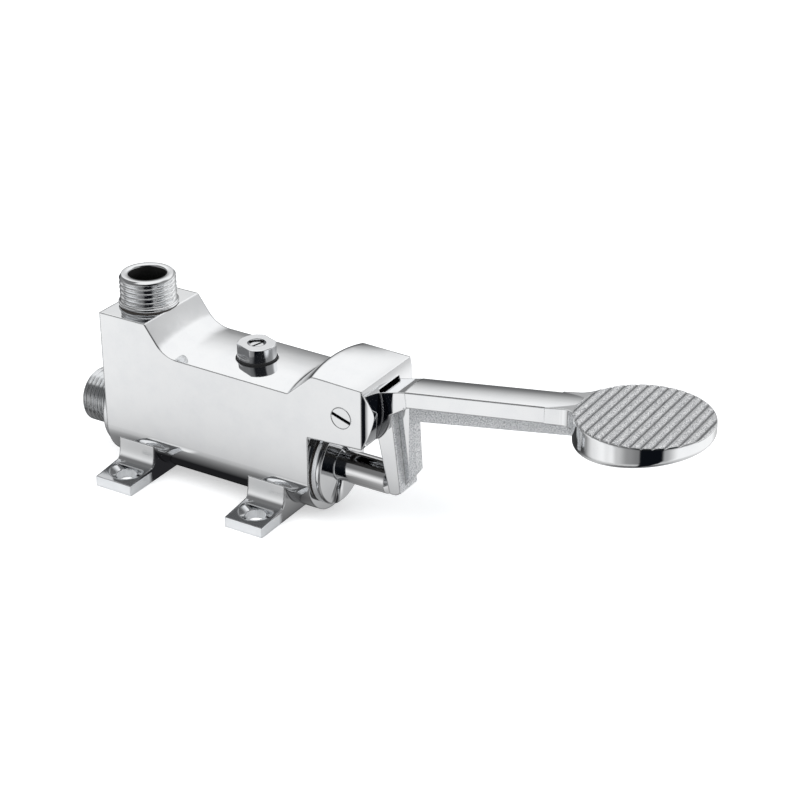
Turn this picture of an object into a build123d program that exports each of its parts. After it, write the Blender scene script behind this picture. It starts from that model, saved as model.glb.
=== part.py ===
from build123d import *
import math
import os

# Foot-pedal self-closing valve, in millimetres. X runs forward from the inlet to the pedal,
# Z is up. The feet stand on z = 0, and the outlet stands over x = 0, y = 0.

os.makedirs("parts", exist_ok=True)

# Fits
running_gap = 0.05
side_gap = 0.15
wire_play = 0.02
groove_play = 0.15
cut_over = 1.0
lathe_bevel = 0.4
seal_inset = 0.2

# Casting
half_width = 16.5
chamber_z = 20.0
belly_z = 18.2
block_rear_x = -10.2
block_front_x = 10.2
block_top_z = 64.0
saddle_rear_z = 52.6
saddle_rear_x = 18.5
saddle_arc = 11.8
hood_root = (72.3, 51.8)
hood_peak = (82.4, 60.8)
hood_root_arc = 2.0
hood_peak_arc = 2.5
saddle_crown = 1.5
hood_crown = 1.9
hood_nose = 1.4
ridge_x = 102.3
ridge_z = 60.4
hood_bulge = (104.9, 49.2)
hood_flat_half = 12.0
cheek_front_z = 38.0
cheek_rear_z = 36.8
body_face_x = 80.0
boss_radius = 16.0
boss_face_x = -12.2

# Feet
foot_width = 16.0
foot_reach = 31.0
foot_thickness = 4.0
foot_x = (2.9, 61.4)
foot_root_y = 15.9
foot_blend = 2.6
foot_rise = 1.3
foot_web_z = 14.0
foot_hole_y = 23.0
foot_hole_radius = 3.7
foot_dish_radius = 6.8
foot_dish_floor = 3.3

# Chamber bores, all round the chamber axis
cap_thread_radius = 12.5
cap_thread_depth_x = 66.0
front_bore_radius = 11.8
seat_bore_radius = 11.4
seat_bore_x = (30.0, 40.0)
spring_bore_radius = 10.6
spring_bore_x = 2.0
water_radius = 7.0
socket_floor_x = -2.2

# Threaded nipples, outside diameter of a G 1/2 pipe thread
pipe_thread_radius = 20.955 / 2
inlet_end_x = -27.3
inlet_root_radius = pipe_thread_radius - 0.25
outlet_top_z = 76.1
outlet_socket_z = 55.0
outlet_shank_z = 55.6
outlet_shank_radius = 8.5
outlet_seal = 0.5
outlet_collar = 1.2
outlet_collar_radius = 11.1
nipple_chamfer = 0.9
rim_chamfer = 0.5
passage_z = 41.4
passage_radius = 4.8

# Regulator
regulator_x = 48.0
knob_seat_z = 53.15
knob_radius = 7.15
knob_base_radius = 7.5
knob_seal = 0.9
knob_top_z = 59.35
knob_flats = 12.0
knob_flat_depth = 4.2
knob_flat_turn = -21.0
knob_recess_radius = 3.4
knob_recess = 1.5
knob_bevel = 0.3
knob_thread_radius = 6.6
knob_thread_z = 45.5
throttle_chamber_radius = 6.2
port_radius = 4.2
port_z = 36.0
spindle_radius = 2.6
spindle_gland_z = 51.6
spindle_collar_radius = 3.1
spindle_collar = 1.15
spindle_screw_radius = 2.0
spindle_screw_end_z = 43.0
spindle_top_z = 58.6
spindle_slot = 0.9
spindle_slot_turn = 76.0
spindle_ring_z = 54.2
spindle_ring_wire = 0.6
throttle_radius = 5.6
throttle_washer_z = (39.0, 40.2)
throttle_plate_z = 41.8
throttle_rim = 0.5
throttle_open = 0.6
throttle_key_radius = 4.0
throttle_key_half = 3.2

# Cap and plunger
cap_radius = 15.3
cap_front_x = 84.0
cap_seal = 0.6
cap_inner_x = cap_thread_depth_x + 2.0
cap_slot = 3.4
cap_slot_depth = 1.8
cap_slot_tilt = 20.0
cap_bevel = 0.6
plunger_radius = 5.9
dome_radius = 15.0
plunger_shoulder_radius = 7.2
plunger_shoulder_x = (cap_inner_x - 3.4, cap_inner_x - 0.1)
plunger_tail_x = plunger_shoulder_x[0] - 3.0
ring_wire = 0.78
ring_groove_half = ring_wire + groove_play
plunger_ring_x = [cap_inner_x + share * (cap_front_x - cap_inner_x) for share in (0.35, 0.625)]

# Valve disc, seat and spring
stem_radius = 3.0
stem_bevel = 0.5
stem_socket_x = cap_inner_x + 2.0
stem_end_x = stem_socket_x - 0.5
stem_flange_radius = 4.6
stem_flange_x = (28.8, 30.3)
stud_radius = 2.5
stud_end_x = 3.4
lip_x = 28.8
lip_radius = 7.0
seat_hole_radius = 6.0
seat_seal = 0.8
seat_front_x = 37.0
seat_key = 2.4
seat_step = 0.6
seat_bevel = 0.8
lip_round = 0.3
cup_radius = 9.0
cup_wall = 0.55
cup_x = (23.8, 28.0)
cup_floor = 2.0
cup_bevel = 1.2
nut_x = 20.6
nut_flats = 7.0
nut_cone = 0.8
nut_corner = 4.2
spring_radius = 5.2
spring_wire = 0.6
spring_turns = 6.2
spring_seat_x = 4.0
guide_ring_radius = 8.7
guide_boss_radius = 3.9
guide_boss_x = 7.6
guide_arm = 2.6

# Pivot, lever and pedal
pivot = (94.1, 48.2)
pin_radius = 3.0
pin_head_radius = 3.9
pin_head = 2.4
pin_slot = 1.2
pin_slot_turn = -18.0
pin_slot_depth = 1.1
slot_half = 6.65
slot_roof_z = 57.5
hub_radius = 8.6
hub_front_radius = 13.3
hub_crown_z = 56.7
hub_fall = 6.0
neck_rear = (102.6, 56.1)
neck_front = (107.6, 57.3)
neck_lap = 0.2
arm_top = (114.0, 59.0)
arm_slope = 8.95
arm_start_x = 113.6
arm_depth = 5.9
arm_top_half = 6.6
arm_low_half = 7.0
arm_crown = 0.5
arm_round = 0.6
arm_into_pad = 2.3
rib_half = 2.25
rib_low = (117.1, 46.7)
rib_slope = 10.2
down_half = 5.75
down_round = 0.5
heel_distance = 5.76
heel_tilt = 12.5
heel_low = (106.6, 18.4)
heel_toe = ((107.4, 17.0), (109.8, 17.1), (111.9, 18.4))
shin = ((110.0, 34.2), (108.2, 48.6))
shin_rib = ((116.0, 26.1), (114.5, 43.7))
shin_rib_toe = (111.6, 19.9)
elbow_round = 3.0
elbow_back = 2.35
contact_gap = 0.06
pad_x = 199.5
pad_top_z = 70.5
pad_tilt = 1.0
pad_radius = 23.2
pad_edge = 1.3
pad_low_z = 61.1
pad_low_slope = 9.0
pad_low_round = 2.6
flare_round = 7.0
flare_rise = (167.0, 179.5)
pad_rib_count = 13
pad_rib_pitch = 3.3
pad_rib_radius = 2.1


def bar(radius, x0, x1, z=chamber_z):
    """Round bar along X."""
    shape = Cylinder(radius, x1 - x0, align=(Align.CENTER, Align.CENTER, Align.MIN))
    return Pos(x0, 0, z) * Rot(0, 90, 0) * shape


def post(radius, z0, z1, x=0.0, y=0.0):
    """Round bar along Z."""
    shape = Cylinder(radius, z1 - z0, align=(Align.CENTER, Align.CENTER, Align.MIN))
    return Pos(x, y, z0) * shape


def plate(outline, half):
    """Side outline in X and Z, made half thick each way from the centre plane."""
    return extrude(Plane.XZ * make_face(outline), half, both=True)


def polygon(points):
    return Polyline(*points, close=True)


def turned_x(points, z=chamber_z):
    """Solid of revolution round the chamber axis from (x, radius) points."""
    face = make_face(polygon(points))
    return Pos(0, 0, z) * revolve(Plane.XZ * face, Axis.X)


def turned_z(points, x=0.0):
    """Solid of revolution round an upright axis from (radius, z) points."""
    face = make_face(polygon(points))
    return Pos(x, 0, 0) * revolve(Plane.XZ * face, Axis.Z)


def hex_bar(flats, x0, x1):
    face = RegularPolygon(flats / 2, 6, major_radius=False)
    return Pos(x0, 0, chamber_z) * Rot(0, 90, 0) * extrude(face, x1 - x0)


def top_line():
    """Side view of the saddle between the block and the hood's ridge."""
    rise = (saddle_rear_z - block_top_z) / (saddle_rear_x - block_front_x)
    above = 3.0
    start = (block_front_x + above / rise, block_top_z + above)
    points = [start, (saddle_rear_x, saddle_rear_z), hood_root, hood_peak, (hood_bulge[0] + 1, ridge_z)]
    return FilletPolyline(*points, radius=[saddle_arc, hood_root_arc, hood_peak_arc])


def crown_at(x):
    """How much higher the top is at the middle than at the sides."""
    marks = [
        (block_front_x, 0.0),
        (saddle_rear_x + saddle_arc / 2, saddle_crown),
        (hood_root[0], saddle_crown),
        (hood_peak[0], hood_crown),
        (ridge_x, 0.0),
    ]
    return eased(x, marks)


def nose_at(x):
    """How much further back the hood starts at the middle than at the sides."""
    ramp = hood_peak[0] - hood_root[0]
    marks = [
        (hood_root[0] - 1.5 * ramp, 0.0),
        (hood_root[0], hood_nose),
        (hood_peak[0], hood_nose),
        (ridge_x, 0.0),
    ]
    return eased(x, marks)


def eased(x, marks):
    """Value at x on a smooth line through the marks, nought outside them."""
    for (x0, low), (x1, high) in zip(marks, marks[1:]):
        if x0 <= x <= x1:
            share = (x - x0) / (x1 - x0)
            return low + (high - low) * share * share * (3 - 2 * share)
    return 0.0


def below_top():
    """Everything under the crowned surface of saddle and hood."""
    line = top_line()
    steps_along, steps_across = 150, 8
    rows = []
    for step in range(steps_along + 1):
        spot = line @ (step / steps_along)
        row = []
        for across in range(steps_across + 1):
            side = 2 * across / steps_across - 1
            middle = 1 - side * side
            back = nose_at(spot.X) * middle
            lift = crown_at(spot.X) * middle
            row.append(Vector(spot.X - back, side * (half_width + 1), spot.Y + lift))
        rows.append(row)
    surface = Face.make_surface_from_array_of_points(rows)
    return Solid.extrude(surface, Vector(0, 0, -block_top_z))


def casting():
    """Block, saddle and hood over a U-shaped belly; the hood's front bulges both ways."""
    far = hood_bulge[0] + 1
    block = plate(
        polygon(
            [
                (block_rear_x, 0),
                (block_rear_x, block_top_z),
                (block_front_x, block_top_z),
                (block_front_x + running_gap, 0),
            ]
        ),
        half_width + 1,
    )
    lower = plate(
        polygon(
            [
                (block_rear_x, 0),
                (block_rear_x, block_top_z),
                (far, block_top_z),
                (far, cheek_front_z),
                (ridge_x, cheek_front_z),
                (body_face_x, cheek_rear_z),
                (body_face_x, 0),
            ]
        ),
        half_width + 1,
    )
    side = (block + below_top()) & lower & plate(hood_limit(), half_width + 1)
    reach = hood_bulge[0]
    step = reach - ridge_x
    edge = half_width - hood_flat_half
    corner = (step * step + edge * edge) / (2 * step)
    sweep_angle = math.degrees(math.atan2(edge, corner - step))
    flat = hood_flat_half
    plan = (
        Line((block_rear_x, -half_width), (ridge_x, -half_width))
        + CenterArc((reach - corner, -flat), corner, -sweep_angle, sweep_angle)
        + Line((reach, -flat), (reach, flat))
        + CenterArc((reach - corner, flat), corner, 0, sweep_angle)
        + Line((ridge_x, half_width), (block_rear_x, half_width))
        + Line((block_rear_x, half_width), (block_rear_x, -half_width))
    )
    side &= extrude(make_face(plan), 2 * block_top_z)
    belly = make_face(
        Line((-half_width, belly_z), (-half_width, block_top_z + 1))
        + Line((-half_width, block_top_z + 1), (half_width, block_top_z + 1))
        + Line((half_width, block_top_z + 1), (half_width, belly_z))
        + ThreePointArc((half_width, belly_z), (0, belly_z - half_width), (-half_width, belly_z))
    )
    section = Plane.YZ.offset(block_rear_x) * belly
    return side & extrude(section, reach - block_rear_x)


def hood_limit():
    """Side view limit of the hood's front: an arc from the ridge to the cheeks' lower edge."""
    top = (ridge_x, ridge_z)
    low = (ridge_x, cheek_front_z)
    return (
        Line((block_rear_x, 0), (block_rear_x, block_top_z))
        + Line((block_rear_x, block_top_z), (ridge_x, block_top_z))
        + Line((ridge_x, block_top_z), top)
        + ThreePointArc(top, hood_bulge, low)
        + Line(low, (ridge_x, 0))
        + Line((ridge_x, 0), (block_rear_x, 0))
    )


def foot_pair(x):
    """Feet that slope up to a tight blend against a short upright web under the belly."""
    blend_y = foot_root_y + foot_blend
    blend_z = foot_thickness + foot_rise
    lean = foot_blend * (1 - math.sqrt(0.5))
    outline = [
        (foot_root_y, blend_z + foot_blend),
        (foot_root_y, foot_web_z),
        (0, foot_web_z),
        (0, 0),
        (foot_reach, 0),
        (foot_reach, foot_thickness),
        (blend_y, blend_z),
    ]
    blend = ThreePointArc(outline[-1], (foot_root_y + lean, blend_z + lean), outline[0])
    web = extrude(Plane.YZ * make_face(Polyline(*outline) + blend), foot_width / 2, both=True)
    web += mirror(web, Plane.XZ)
    return Pos(x, 0, 0) * web


def foot_cut(x, y):
    """Screw hole with a shallow dish that reaches nearly to the foot's edges."""
    rim_z = foot_thickness + foot_rise / 2
    slope_up = (rim_z - foot_dish_floor) / (foot_dish_radius - foot_hole_radius)
    clear_z = rim_z + slope_up
    dish = turned_z(
        [
            (0, -1),
            (foot_hole_radius, -1),
            (foot_hole_radius, foot_dish_floor),
            (foot_dish_radius, rim_z),
            (foot_dish_radius, clear_z),
            (0, clear_z),
        ]
    )
    return Pos(x, y, 0) * dish


def body():
    shape = casting()
    for x in foot_x:
        shape += foot_pair(x)
    shape += bar(boss_radius, boss_face_x, block_rear_x + 1)
    for x in foot_x:
        for y in (-foot_hole_y, foot_hole_y):
            shape -= foot_cut(x, y)
    # Stepped bore of the chamber, from the cap's thread back to the inlet.
    shape -= turned_x(
        [
            (boss_face_x - 1, 0),
            (boss_face_x - 1, inlet_root_radius + running_gap),
            (socket_floor_x, inlet_root_radius + running_gap),
            (socket_floor_x, water_radius),
            (spring_bore_x, water_radius),
            (spring_bore_x, spring_bore_radius),
            (seat_bore_x[0], spring_bore_radius),
            (seat_bore_x[0], seat_bore_radius),
            (seat_bore_x[1], seat_bore_radius),
            (seat_bore_x[1], front_bore_radius),
            (cap_thread_depth_x, front_bore_radius),
            (cap_thread_depth_x, cap_thread_radius),
            (body_face_x + 1, cap_thread_radius),
            (body_face_x + 1, 0),
        ]
    )
    # Cored passage from the regulator's port to the outlet.
    shape -= bar(passage_radius, 0, regulator_x, passage_z)
    shape -= turned_z(
        [
            (0, passage_z - passage_radius),
            (water_radius, passage_z - passage_radius),
            (water_radius, outlet_socket_z),
            (outlet_shank_radius + running_gap, outlet_socket_z),
            (outlet_shank_radius + running_gap, block_top_z + 1),
            (0, block_top_z + 1),
        ]
    )
    shape -= turned_z(
        [
            (0, chamber_z),
            (port_radius, chamber_z),
            (port_radius, port_z),
            (throttle_chamber_radius, port_z),
            (throttle_chamber_radius, knob_thread_z - 1),
            (knob_thread_radius, knob_thread_z - 1),
            (knob_thread_radius, knob_seat_z),
            (knob_base_radius + side_gap, knob_seat_z),
            (knob_base_radius + side_gap, knob_top_z),
            (0, knob_top_z),
        ],
        regulator_x,
    )
    # Slot for the lever, open at the front and below, rounded round the hub.
    x, z = pivot
    reach = slot_roof_z - z
    lean = reach * math.sqrt(0.5)
    outline = Polyline(
        (x - reach, z),
        (x - reach, cheek_rear_z - 2),
        (hood_bulge[0] + 1, cheek_rear_z - 2),
        (hood_bulge[0] + 1, slot_roof_z),
        (x, slot_roof_z),
    )
    roof = ThreePointArc((x, slot_roof_z), (x - lean, z + lean), (x - reach, z))
    shape -= plate(outline + roof, slot_half)
    shape -= pin_space(running_gap / 2)
    return shape


def pin_space(gap):
    """The pivot pin's own shape, made larger all round by the gap."""
    shank = Cylinder(pin_radius + gap, 2 * half_width)
    head_middle = half_width - (pin_head - cut_over) / 2
    head = Pos(0, 0, head_middle) * Cylinder(pin_head_radius + gap, pin_head + cut_over)
    return Pos(pivot[0], 0, pivot[1]) * Rot(90, 0, 0) * (shank + head)


def pivot_pin():
    shank = Pos(0, 0, -running_gap) * Cylinder(pin_radius, 2 * (half_width - running_gap))
    head = Pos(0, 0, half_width - pin_head / 2) * Cylinder(pin_head_radius, pin_head)
    slot = Rot(0, 0, pin_slot_turn) * Box(4 * pin_radius, pin_slot, 2 * pin_slot_depth)
    slot = Pos(0, 0, half_width) * slot
    return Pos(pivot[0], 0, pivot[1]) * Rot(90, 0, 0) * (shank + head - slot)


def outlet_nipple():
    collar_z = block_top_z + outlet_seal
    return turned_z(
        [
            (water_radius, outlet_shank_z),
            (outlet_shank_radius, outlet_shank_z),
            (outlet_shank_radius, collar_z),
            (outlet_collar_radius, collar_z),
            (outlet_collar_radius, collar_z + outlet_collar),
            (pipe_thread_radius, collar_z + outlet_collar),
            (pipe_thread_radius, outlet_top_z - nipple_chamfer),
            (pipe_thread_radius - nipple_chamfer, outlet_top_z),
            (water_radius + rim_chamfer, outlet_top_z),
            (water_radius, outlet_top_z - rim_chamfer),
        ]
    )


def outlet_nipple_seal():
    inner = outlet_shank_radius + running_gap
    ring = post(outlet_collar_radius - seal_inset, block_top_z, block_top_z + outlet_seal)
    return ring - post(inner, block_top_z - 1, block_top_z + 2)


def inlet_nipple():
    return turned_x(
        [
            (inlet_end_x, water_radius + rim_chamfer),
            (inlet_end_x, pipe_thread_radius - nipple_chamfer),
            (inlet_end_x + nipple_chamfer, pipe_thread_radius),
            (boss_face_x, pipe_thread_radius),
            (boss_face_x, inlet_root_radius),
            (socket_floor_x, inlet_root_radius),
            (socket_floor_x, water_radius),
            (inlet_end_x + rim_chamfer, water_radius),
        ]
    )


def keyed_post(gap, z0, z1):
    """Upright round bar with two flats that stop the throttle from turning."""
    return post(throttle_key_radius + gap, z0, z1) & Pos(0, 0, (z0 + z1) / 2) * Box(
        4 * throttle_key_radius, 2 * (throttle_key_half + gap), z1 - z0
    )


def regulator_bonnet():
    """Round nut with two outer flats, bored for the spindle and keyed for the throttle."""
    base_z = knob_seat_z + knob_seal
    shell = turned_z(
        [
            (0, knob_thread_z),
            (knob_thread_radius - running_gap, knob_thread_z),
            (knob_thread_radius - running_gap, base_z),
            (knob_radius, base_z),
            (knob_radius, knob_top_z - knob_bevel),
            (knob_radius - knob_bevel, knob_top_z),
            (knob_recess_radius, knob_top_z),
            (knob_recess_radius, knob_top_z - knob_recess),
            (spindle_radius + running_gap, knob_top_z - knob_recess),
            (spindle_radius + running_gap, spindle_gland_z),
            (0, spindle_gland_z),
        ]
    )
    shell -= keyed_post(running_gap, knob_thread_z - 1, spindle_gland_z)
    side = Box(4 * knob_radius, knob_radius, knob_flat_depth, align=(Align.CENTER, Align.MIN, Align.MAX))
    flats = Pos(0, knob_flats / 2, knob_top_z) * side
    flats += mirror(flats, Plane.XZ)
    return Pos(regulator_x, 0, 0) * (shell - Rot(0, 0, knob_flat_turn) * flats)


def regulator_bonnet_seal():
    ring = post(knob_base_radius, knob_seat_z, knob_seat_z + knob_seal)
    return Pos(regulator_x, 0, 0) * (ring - post(knob_thread_radius, knob_seat_z - 1, knob_top_z))


def ring_groove_depth(radius, wire):
    """Radius of a groove's floor under a sealing ring that ends flush with the given bore."""
    return radius + running_gap - 2 * wire - wire_play


def regulator_spindle():
    """Slotted head, sealing groove, a collar held under the gland and a screw for the throttle."""
    groove = ring_groove_depth(spindle_radius, spindle_ring_wire)
    half = spindle_ring_wire + groove_play
    collar_top_z = spindle_gland_z - running_gap
    shape = turned_z(
        [
            (0, spindle_screw_end_z),
            (spindle_screw_radius - lathe_bevel, spindle_screw_end_z),
            (spindle_screw_radius, spindle_screw_end_z + lathe_bevel),
            (spindle_screw_radius, spindle_gland_z - spindle_collar),
            (spindle_collar_radius, spindle_gland_z - spindle_collar),
            (spindle_collar_radius, collar_top_z),
            (spindle_radius, collar_top_z),
            (spindle_radius, spindle_ring_z - half),
            (groove, spindle_ring_z - half),
            (groove, spindle_ring_z + half),
            (spindle_radius, spindle_ring_z + half),
            (spindle_radius, spindle_top_z - lathe_bevel / 2),
            (spindle_radius - lathe_bevel / 2, spindle_top_z),
            (0, spindle_top_z),
        ]
    )
    slot = Rot(0, 0, spindle_slot_turn) * Box(4 * spindle_radius, spindle_slot, 2 * spindle_slot)
    slot = Pos(0, 0, spindle_top_z) * slot
    return Pos(regulator_x, 0, 0) * (shape - slot)


def spindle_seal_ring():
    wire = spindle_ring_wire
    middle = ring_groove_depth(spindle_radius, wire) + wire + wire_play / 2
    return Pos(regulator_x, 0, spindle_ring_z) * Torus(middle, wire)


def throttle_disc():
    """Disc with a rim round its washer below and a keyed, threaded stalk above."""
    low, high = throttle_washer_z
    stalk_top_z = spindle_gland_z - spindle_collar - throttle_open - 2 * running_gap
    plate_shape = turned_z(
        [
            (0, high),
            (throttle_radius - throttle_rim, high),
            (throttle_radius - throttle_rim, low + lathe_bevel),
            (throttle_radius, low + lathe_bevel),
            (throttle_radius, throttle_plate_z - lathe_bevel),
            (throttle_radius - lathe_bevel, throttle_plate_z),
            (0, throttle_plate_z),
        ]
    )
    shape = plate_shape + keyed_post(0, throttle_plate_z, stalk_top_z)
    bore = post(spindle_screw_radius + running_gap, throttle_plate_z, stalk_top_z + cut_over)
    return Pos(regulator_x, 0, 0) * (shape - bore)


def throttle_washer():
    return post(throttle_radius - throttle_rim, *throttle_washer_z, x=regulator_x)


def cap_slot_box():
    shape = Box(2 * cap_slot_depth, cap_slot, 4 * cap_radius)
    return Pos(cap_front_x, 0, chamber_z) * Rot(cap_slot_tilt, 0, 0) * shape


def front_cap():
    """Slotted cap with the plunger's gland in its threaded shank."""
    inner = plunger_radius + running_gap
    flange_x = body_face_x + cap_seal
    shape = turned_x(
        [
            (cap_inner_x, inner),
            (cap_inner_x, cap_thread_radius - running_gap),
            (flange_x, cap_thread_radius - running_gap),
            (flange_x, cap_radius),
            (cap_front_x - cap_bevel, cap_radius),
            (cap_front_x, cap_radius - cap_bevel),
            (cap_front_x, inner + lathe_bevel),
            (cap_front_x - lathe_bevel, inner),
        ]
    )
    return shape - cap_slot_box()


def front_cap_seal():
    ring = bar(cap_radius - seal_inset, body_face_x, body_face_x + cap_seal)
    return ring - bar(cap_thread_radius, body_face_x - 1, body_face_x + 2)


def plunger_tip_x():
    """Front end of the plunger, where its dome just misses the lever's heel."""
    tilt = math.radians(heel_tilt)
    reach = heel_distance - dome_radius - contact_gap
    centre = (reach - math.sin(tilt) * (chamber_z - pivot[1])) / math.cos(tilt)
    return pivot[0] + centre + dome_radius


def plunger():
    """Domed bar with two ring grooves, a stop shoulder and a socket for the stem."""
    tip = plunger_tip_x()
    groove = ring_groove_depth(plunger_radius, ring_wire)
    back, front = plunger_shoulder_x
    outline = [
        (stem_socket_x, 0),
        (stem_socket_x, stem_radius + running_gap),
        (plunger_tail_x, stem_radius + running_gap),
        (plunger_tail_x, plunger_radius - stem_bevel),
        (plunger_tail_x + stem_bevel, plunger_radius),
        (back, plunger_radius),
        (back, plunger_shoulder_radius),
        (front, plunger_shoulder_radius),
        (front, plunger_radius),
    ]
    for x in plunger_ring_x:
        outline.append((x - ring_groove_half, plunger_radius))
        outline.append((x - ring_groove_half, groove))
        outline.append((x + ring_groove_half, groove))
        outline.append((x + ring_groove_half, plunger_radius))
    rise = dome_radius - math.sqrt(dome_radius**2 - plunger_radius**2)
    half_rise = dome_radius - math.sqrt(dome_radius**2 - (plunger_radius / 2) ** 2)
    outline.append((tip - rise, plunger_radius))
    dome = ThreePointArc((tip - rise, plunger_radius), (tip - half_rise, plunger_radius / 2), (tip, 0))
    face = make_face(Polyline(*outline) + dome + Line((tip, 0), outline[0]))
    return Pos(0, 0, chamber_z) * revolve(Plane.XZ * face, Axis.X)


def plunger_seal_rings():
    middle = ring_groove_depth(plunger_radius, ring_wire) + ring_wire + wire_play / 2
    rings = [Pos(x, 0, chamber_z) * Rot(0, 90, 0) * Torus(middle, ring_wire) for x in plunger_ring_x]
    return Compound(children=rings)


def valve_stem():
    return turned_x(
        [
            (stud_end_x, 0),
            (stud_end_x, stud_radius - lathe_bevel),
            (stud_end_x + lathe_bevel, stud_radius),
            (stem_flange_x[0], stud_radius),
            (stem_flange_x[0], stem_flange_radius),
            (stem_flange_x[1], stem_flange_radius),
            (stem_flange_x[1], stem_radius),
            (stem_end_x - stem_bevel, stem_radius),
            (stem_end_x, stem_radius - stem_bevel),
            (stem_end_x, 0),
        ]
    )


def valve_seat():
    """Screwed ring with a raised rounded lip towards the inlet and two key slots."""
    back = seat_bore_x[0] + seat_seal
    shape = turned_x(
        [
            (lip_x + lip_round, seat_hole_radius),
            (lip_x, seat_hole_radius + lip_round),
            (lip_x, lip_radius - lip_round),
            (lip_x + lip_round, lip_radius),
            (back, lip_radius + seat_step),
            (back, seat_bore_radius - running_gap),
            (seat_front_x, seat_bore_radius - running_gap),
            (seat_front_x, seat_hole_radius + seat_bevel),
            (seat_front_x - seat_bevel, seat_hole_radius),
        ]
    )
    key = Pos(seat_front_x, 0, chamber_z) * Box(seat_key, 3 * seat_bore_radius, seat_key)
    return shape - key


def valve_seat_seal():
    back, front = seat_bore_x[0], seat_bore_x[0] + seat_seal
    ring = bar(seat_bore_radius - running_gap, back, front)
    return ring - bar(cup_radius + lathe_bevel, back - 1, front + 1)


def valve_disc():
    """Cup that holds the washer, with a bore for the stud."""
    back, rim = cup_x
    floor = back + cup_floor
    return turned_x(
        [
            (back, stud_radius + running_gap),
            (back, cup_radius - cup_bevel),
            (back + cup_bevel, cup_radius),
            (rim, cup_radius),
            (rim, cup_radius - cup_wall),
            (floor, cup_radius - cup_wall),
            (floor, stud_radius + running_gap),
        ]
    )


def valve_washer():
    floor = cup_x[0] + cup_floor
    ring = bar(cup_radius - cup_wall - running_gap, floor, lip_x)
    return ring - bar(stud_radius + running_gap, floor - 1, lip_x + 1)


def valve_nut():
    shape = hex_bar(nut_flats, nut_x, cup_x[0])
    tip = turned_x(
        [
            (nut_x, 0),
            (nut_x, nut_flats / 2),
            (nut_x + nut_cone, nut_corner),
            (cup_x[0], nut_corner),
            (cup_x[0], 0),
        ]
    )
    return (shape & tip) - bar(stud_radius + running_gap, nut_x - 1, cup_x[0] + 1)


def return_spring():
    """Round wire wound between the guide's arms and the disc, ends ground flat."""
    start, end = spring_seat_x, cup_x[0]
    coil = Helix((end - start) / spring_turns, end - start, spring_radius)
    wire = sweep(Plane(origin=coil @ 0, z_dir=coil % 0) * Circle(spring_wire), path=coil, is_frenet=True)
    placed = Pos(start, 0, chamber_z) * Rot(0, 90, 0) * wire
    return placed & bar(2 * spring_radius, start, end)


def spring_guide():
    """Ring with three arms and a boss that guides the stud's tail."""
    face_x = spring_seat_x
    shape = bar(spring_bore_radius - running_gap, spring_bore_x, face_x)
    shape -= bar(guide_ring_radius, spring_bore_x - 1, face_x + 1)
    reach = (guide_ring_radius + spring_bore_radius) / 2
    inward = (Align.MIN, Align.CENTER, Align.MIN)
    arm = Pos(0, 0, chamber_z) * Box(face_x - spring_bore_x, guide_arm, reach, align=inward)
    for turn in (0, 120, 240):
        shape += Pos(spring_bore_x, 0, 0) * arm.rotate(Axis((0, 0, chamber_z), (1, 0, 0)), turn)
    shape += bar(guide_boss_radius, spring_bore_x, guide_boss_x)
    return shape - bar(stud_radius + running_gap, spring_bore_x - 1, guide_boss_x + 1)


def slope(angle):
    return math.tan(math.radians(angle))


def heel_x(z):
    """Back face of the down-arm at a height."""
    tilt = math.radians(heel_tilt)
    return pivot[0] + (heel_distance - math.sin(tilt) * (z - pivot[1])) / math.cos(tilt)


def hub():
    """Flat-faced hub: a disc round the pivot that widens forward into the arm."""
    half = slot_half - side_gap
    disc = Pos(pivot[0], 0, pivot[1]) * Rot(90, 0, 0) * Cylinder(hub_radius, 2 * half)
    front = Pos(pivot[0], 0, pivot[1]) * Rot(90, 0, 0) * Cylinder(hub_front_radius, 2 * half)
    low = pivot[1] - hub_front_radius
    far = pivot[0] + 2 * hub_front_radius
    limit = [
        (heel_x(low), low),
        (heel_x(hub_crown_z), hub_crown_z),
        (far, hub_crown_z - hub_fall),
        (far, low),
    ]
    ahead = plate(polygon(limit), half)
    arm_low_z = arm_top[1] - arm_depth
    neck = plate(
        polygon(
            [
                (pivot[0], pivot[1] + hub_radius - neck_lap),
                neck_rear,
                neck_front,
                (arm_start_x, arm_top[1] - neck_lap),
                (arm_start_x + 6 * neck_lap, arm_low_z),
                (pivot[0] + hub_front_radius, pivot[1]),
                pivot,
            ]
        ),
        half,
    )
    return disc + (front & ahead) + neck


def arm():
    """Crowned flange of the arm, slightly wider below, rising towards the pad."""
    length = pad_x - pad_radius + arm_into_pad - arm_start_x
    top = arm_top_half
    section = make_face(
        Line((-arm_low_half, -arm_depth), (arm_low_half, -arm_depth))
        + Line((arm_low_half, -arm_depth), (top, 0))
        + ThreePointArc((top, 0), (0, arm_crown), (-top, 0))
        + Line((-top, 0), (-arm_low_half, -arm_depth))
    )
    start_z = arm_top[1] + slope(arm_slope) * (arm_start_x - arm_top[0])
    bar_shape = extrude(section, length)
    bar_shape = fillet(bar_shape.edges().filter_by(Axis.Z), arm_round)
    stand = Plane(origin=(arm_start_x, 0, start_z), x_dir=(0, 1, 0), z_dir=(1, 0, slope(arm_slope)))
    return stand * bar_shape


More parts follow.
